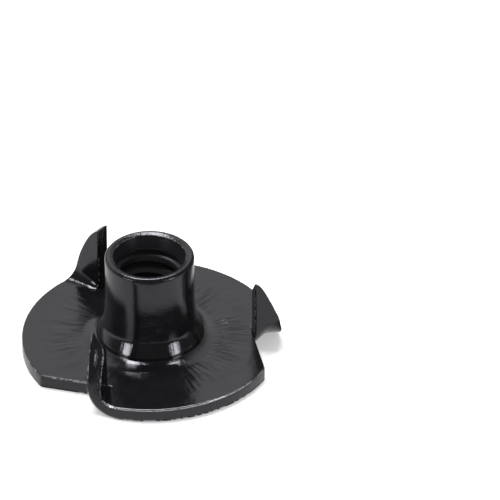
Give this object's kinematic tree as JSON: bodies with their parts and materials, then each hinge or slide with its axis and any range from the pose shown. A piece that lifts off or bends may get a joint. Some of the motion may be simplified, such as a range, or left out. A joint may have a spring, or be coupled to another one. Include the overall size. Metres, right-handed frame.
{
  "type": "tee nut",
  "caption": "Pressed steel tee nut: a round notched flange, prongs folded up beside the notches, and a drawn barrel with an inside thread.",
  "frame": {"origin": "on the barrel's axis, in the plane of the flange's underside", "axes": "+Z along the axis, from the flange towards the barrel's mouth"},
  "size_m": [0.0193, 0.019, 0.0082],
  "materials": {
    "black_coat": "glossy black coat on pressed steel"
  },
  "bodies": {
    "root": {"tee_nut": "black_coat"}
  },
  "joints": []
}
